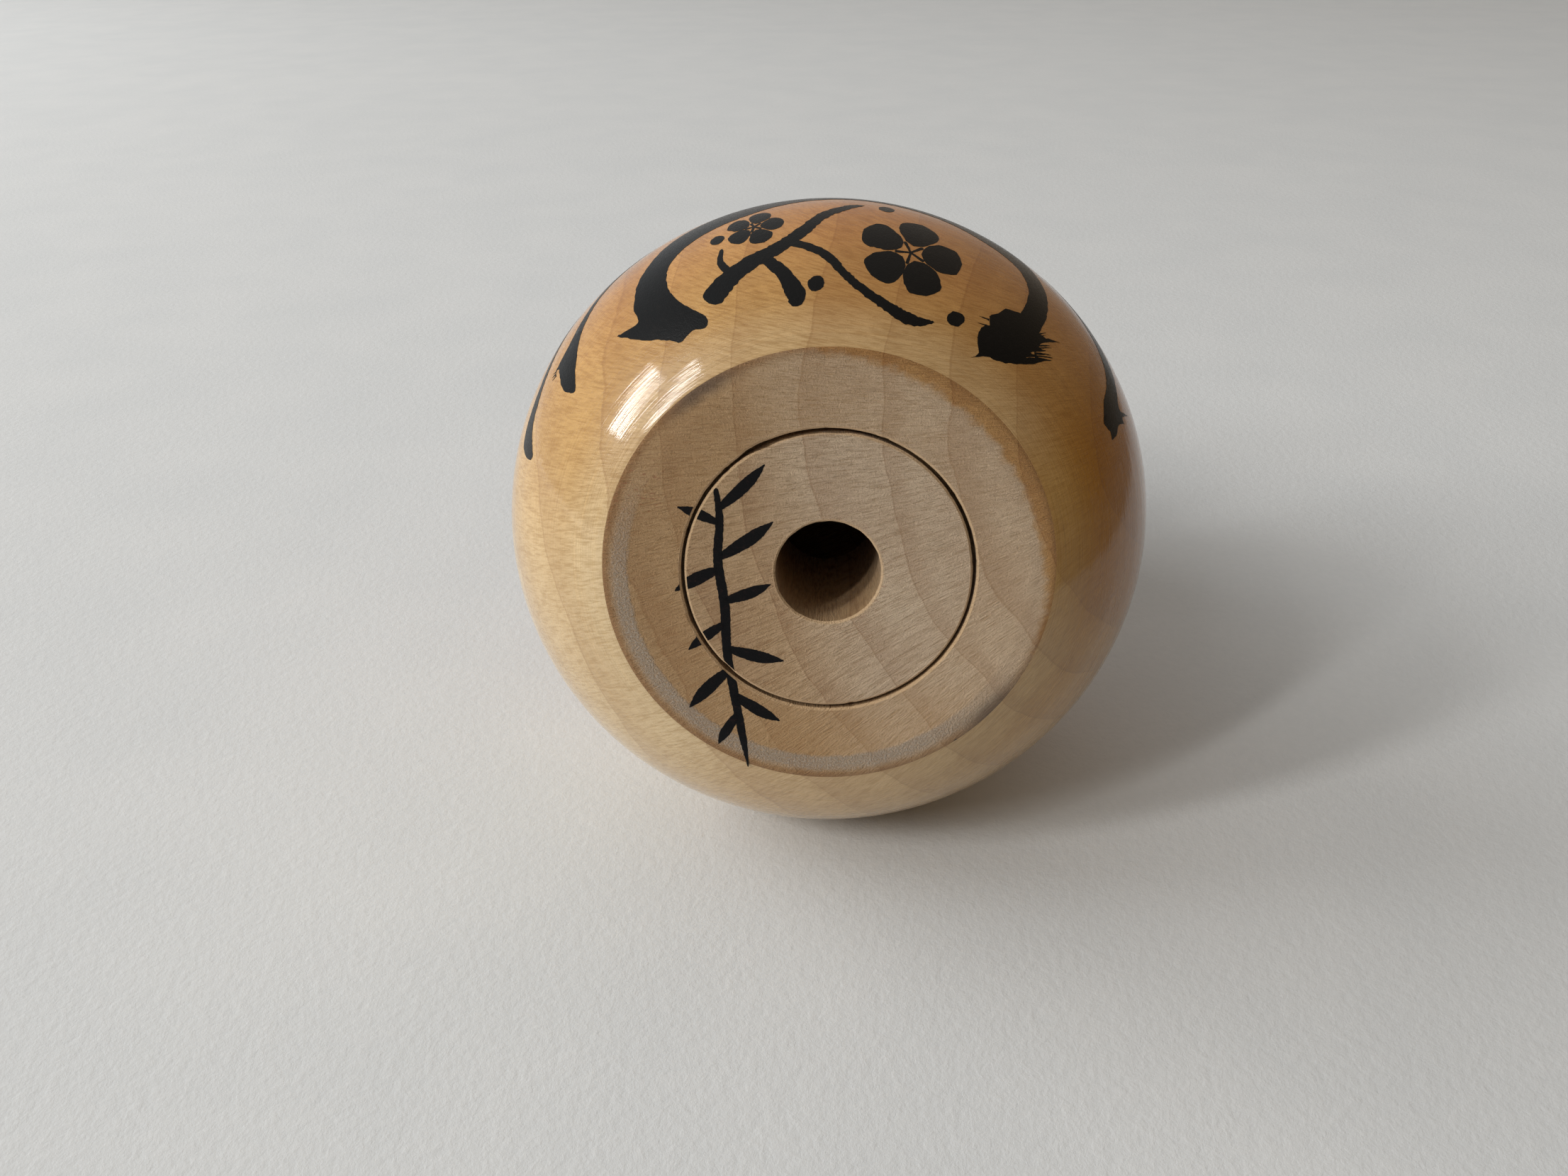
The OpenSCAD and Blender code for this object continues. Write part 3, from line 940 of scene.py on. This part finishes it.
for name, keep, body in (("plug_sprig", one_side(seam_in, -1), "plug"),
                         ("foot_sprig", one_side(seam_out, 1), "body")):
    pen = Ink(base_skin, 31)
    pen.stroke(STEM, rough=0.05, keep=keep, step=0.3)
    for x, y, angle, length, width in LEAVES:
        a = math.radians(angle)
        path = []
        for t, w in ((0, 0.45), (0.2, 0.8), (0.5, 1.0), (0.75, 0.8), (1, 0.08)):
            bend = -0.10 * length * t * t
            path.append((x + math.cos(a) * length * t - math.sin(a) * bend,
                         y + math.sin(a) * length * t + math.cos(a) * bend, width * w))
        pen.stroke(path, rough=0.045, cap=False, keep=keep, step=0.25)
    pen.finish(name, black_flat, body)


# -------------------- hair and face
HAIR_LIFT = 0.07
HAIR_COLUMNS = 720
HAIR_ROWS = 60
FRINGE_Z, LOCK_Z, NAPE_Z = HEAD_Z + 9.5, HEAD_Z - 9.0, HEAD_Z - 17.0
strands = random.Random(8)
FRAY = [strands.uniform(-1, 1) for _ in range(HAIR_COLUMNS)]


def smooth(x, low, high):
    """Smooth step from 0 at low to 1 at high."""
    t = min(1.0, max(0.0, (x - low) / (high - low)))
    return t * t * (3 - 2 * t)


def hair_edge(column):
    """Height of the hair's lower edge, with brushed strands."""
    a = abs((column * 360 / HAIR_COLUMNS + 180) % 360 - 180)
    z = FRINGE_Z + 1.6 * smooth(a, 4, 30)
    z += (LOCK_Z - z) * smooth(a, 37, 44)
    z += (NAPE_Z - z) * smooth(a, 52, 95)
    fray = 0.9 if a < 37 else 0.35
    return z + fray * FRAY[column]


def hair():
    """Painted cap of hair, closed under the skin of the head."""
    top = head_skin.length
    verts, faces = [], []
    columns = []
    for c in range(HAIR_COLUMNS):
        azimuth = c * 360 / HAIR_COLUMNS
        edge = head_skin.at_height(hair_edge(c))
        column = []
        for i in range(HAIR_ROWS + 1):
            v = edge + (top - 0.3 - edge) * i / HAIR_ROWS
            lift = HAIR_LIFT * min(1.0, 0.4 + 0.6 * (v - edge) / 0.6)
            column.append(len(verts))
            verts.append(head_skin.place(azimuth, v, lift))
        column.append(len(verts))
        verts.append(head_skin.place(azimuth, edge, Ink.LOW))
        columns.append(column)
    crown = len(verts)
    verts.append(Vector((0, 0, HEAD_Z1 + HAIR_LIFT)) * MM)
    root = len(verts)
    verts.append(Vector((0, 0, HEAD_Z1 - 4.0)) * MM)
    for c in range(HAIR_COLUMNS):
        p, q = columns[c], columns[(c + 1) % HAIR_COLUMNS]
        for i in range(HAIR_ROWS):
            faces.append([p[i], q[i], q[i + 1], p[i + 1]])
        faces.append([p[-1], q[-1], q[0], p[0]])
        faces.append([p[-2], q[-2], crown])
        faces.append([q[-1], p[-1], root])
    return add_object("hair", verts, faces, [hair_gloss])


hair_piece = hair()
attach(hair_piece, "head")

face = Ink(head_skin, 41)


def on_head(ink, points, mirror=1, cap=False):
    """A fine stroke through points of (azimuth, height over the middle of the head, width)."""
    placed = [(a * mirror, head_skin.at_height(HEAD_Z + dz), w) for a, dz, w in points]
    ink.stroke(placed, 0.02, cap, step=0.3)


for side in (-1, 1):
    # Brow, upper lid, pupil and lower lid
    on_head(face, [(10, 4.2, 0.15), (16, 6.0, 0.75), (24, 6.2, 0.8), (33, 3.8, 0.1)], side)
    on_head(face, [(9, -3.2, 0.15), (14, -1.0, 0.8), (21, -0.3, 1.1), (28, -1.5, 0.9), (33.5, -4.0, 0.1)],
            side)
    on_head(face, [(18.5, -1.8, 2.2), (21, -2.3, 2.7), (23.5, -1.9, 2.2)], side, cap=True)
    on_head(face, [(13.5, -4.1, 0.1), (20, -4.9, 0.38), (28, -4.2, 0.1)], side)
on_head(face, [(-2.4, -4.0, 0.1), (-3.2, -7.4, 0.5), (-1.0, -9.4, 0.65), (2.2, -8.6, 0.2)])
# A few loose hairs under the fringe and before each lock
for i in range(26):
    a = -34 + 68 * i / 25 + strands.uniform(-1, 1)
    root = FRINGE_Z - HEAD_Z + 1.2
    tip = root - 1.6 - strands.uniform(0.4, 1.7)
    on_head(face, [(a, root, 0.5), (a * 1.01, root - 1.2, 0.4), (a * 1.02, tip, 0.05)])
face.finish("face_lines", black_gloss, "head")

lips = Ink(head_skin, 42)
on_head(lips, [(-5.4, -14.6, 0.2), (-2.4, -13.9, 1.0), (0, -14.3, 0.8), (2.4, -13.9, 1.0),
               (5.4, -14.6, 0.2)])
on_head(lips, [(-3.4, -15.7, 0.2), (0, -16.3, 1.0), (3.4, -15.7, 0.2)])
# Red strokes that spread from the crown over the hair
for middle in (90, 270):
    for i in range(-2, 3):
        a = middle + i * 24
        top = head_skin.length
        lips.stroke([(a, top - 5.5, 0.5), (a + i * 1.5, top - 9, 1.5), (a + i * 3, top - 14 + abs(i), 1.9),
                     (a + i * 4, top - 18.5 + 1.6 * abs(i), 0.3)], rough=0.05, step=0.5, lift=HAIR_LIFT)
lips.finish("lips_and_ribbon", red_gloss, "head")


# -------------------- floor, light and camera
# The paper gives way to the table between these distances, to the right and nearer
PAPER_EDGE = (240.0, 265.0)


def paper():
    """Pale paper that shows only from the doll's side, and a darker table to the picture's right."""
    g = Graph("paper")
    spot = g.here()
    fibre = g.noise(g.vector("SCALE", spot, 0.6), 4.0, 0.7)
    mottled = g.noise(g.vector("SCALE", spot, 0.03))
    shade = g.plus(g.times(fibre, 0.5), g.times(mottled, 0.5))
    colour = g.mix(g.range(shade, 0.3, 0.7), (0.70, 0.715, 0.715), (0.74, 0.75, 0.745))
    past_edge = g.range(g.vector("DOT_PRODUCT", spot, (1.0, 0.0, -0.58)), *PAPER_EDGE)
    g.shade({"Base Color": g.mix(past_edge, colour, (0.26, 0.22, 0.17)), "Roughness": 0.85,
             "Specular IOR Level": 0.2, "Normal": g.bump(fibre, 0.00015)})
    clear = g.tree.nodes.new("ShaderNodeBsdfTransparent").outputs[0]
    behind = g.tree.nodes.new("ShaderNodeNewGeometry").outputs["Backfacing"]
    both = g.tree.nodes.new("ShaderNodeMixShader")
    for socket, value in zip(both.inputs, (behind, g.shader.outputs[0], clear)):
        g.feed(socket, value)
    g.feed(g.out.inputs[0], both.outputs[0])
    return g.material


# The doll lies on its back, so the floor touches the back of the body and of the head
LEAN = math.radians(13.0)
up_from_floor = Vector((0, -math.cos(LEAN), -math.sin(LEAN)))
along_floor = Vector((1, 0, 0))
FLOOR_GAP = 0.3
FLOOR_HALF = 3.0
under_doll = Vector((0, 0, BELLY_Z)) * MM - up_from_floor * (BODY_R + FLOOR_GAP) * MM
across = up_from_floor.cross(along_floor)
corners = [under_doll + along_floor * (FLOOR_HALF * i) + across * (FLOOR_HALF * j)
           for i, j in ((-1, -1), (1, -1), (1, 1), (-1, 1))]
floor = add_object("floor", corners, [[0, 1, 2, 3]], [paper()])
if floor.data.polygons[0].normal.dot(up_from_floor) < 0:
    floor.data.flip_normals()

CAMERA_AT = Vector((-0.0021, -0.0539, -0.1567))
LOOKING = Vector((-0.0249, 0.3348, 0.942)).normalized()
PICTURE_UP = Vector((0, -0.942, 0.335))
camera_data = bpy.data.cameras.new("camera")
camera_data.sensor_width = 36.0
camera_data.lens = 27.0
camera_data.clip_start = 0.01
camera = bpy.data.objects.new("camera", camera_data)
bpy.context.scene.collection.objects.link(camera)
right = LOOKING.cross(PICTURE_UP).normalized()
picture_up = right.cross(LOOKING)
turn = Matrix((right, picture_up, -LOOKING)).transposed()
camera.matrix_world = Matrix.Translation(CAMERA_AT) @ turn.to_4x4()
bpy.context.scene.camera = camera


def area_light(name, direction, distance, size_x, size_y, power, colour):
    """Soft light that shines on the middle of the body from a direction given along the picture's
    right, up and towards the camera."""
    data = bpy.data.lights.new(name, "AREA")
    data.shape = "RECTANGLE"
    data.size, data.size_y, data.energy, data.color = size_x, size_y, power, colour
    light = bpy.data.objects.new(name, data)
    bpy.context.scene.collection.objects.link(light)
    middle = Vector((0, 0, BELLY_Z * MM))
    away = (right * direction[0] + picture_up * direction[1] - LOOKING * direction[2]).normalized()
    light.location = middle + away * distance
    light.rotation_mode = "QUATERNION"
    side = up_from_floor.cross(away).normalized()
    light.rotation_quaternion = Matrix((side, away.cross(side), away)).transposed().to_quaternion()
    return light


WINDOW_LIGHT = (1.0, 0.985, 0.965)
area_light("window_far", (-0.81, 0.24, 0.55), 2.6, 0.21, 0.86, 19.0, WINDOW_LIGHT)
area_light("window_near", (-0.65, 0.20, 0.74), 2.6, 0.14, 0.98, 12.5, WINDOW_LIGHT)
wall = area_light("wall", (-0.86, 0.48, 0.02), 2.4, 1.6, 1.4, 32.0, (0.97, 0.985, 1.0))
wall.visible_glossy = False


def room():
    """Pale room light, stronger from the window's side and near the floor, warmer from the other side."""
    world = bpy.data.worlds.new("room")
    world.use_nodes = True
    g = Nodes(world.node_tree)
    glow = g.tree.nodes["Background"]
    ray = g.tree.nodes.new("ShaderNodeTexCoord").outputs["Generated"]

    def towards(direction, *limits):
        return g.range(g.vector("DOT_PRODUCT", ray, direction), *limits, shape="LINEAR")

    window = (right * -0.45 + picture_up * 0.85 + LOOKING * 0.25).normalized()
    level = towards(window, -0.45, 1.0, 0.02, 0.56)
    skirting = towards(up_from_floor, 0.0, 0.45, 0.07, 0.0)
    g.feed(glow.inputs["Strength"], g.plus(level, skirting))
    warmth = towards(right * -1.0, -1.0, 0.4)
    g.feed(glow.inputs["Color"], g.mix(warmth, (1.0, 0.72, 0.44), (0.95, 0.98, 1.0)))
    bpy.context.scene.world = world


room()
bpy.context.scene.view_settings.view_transform = "Standard"
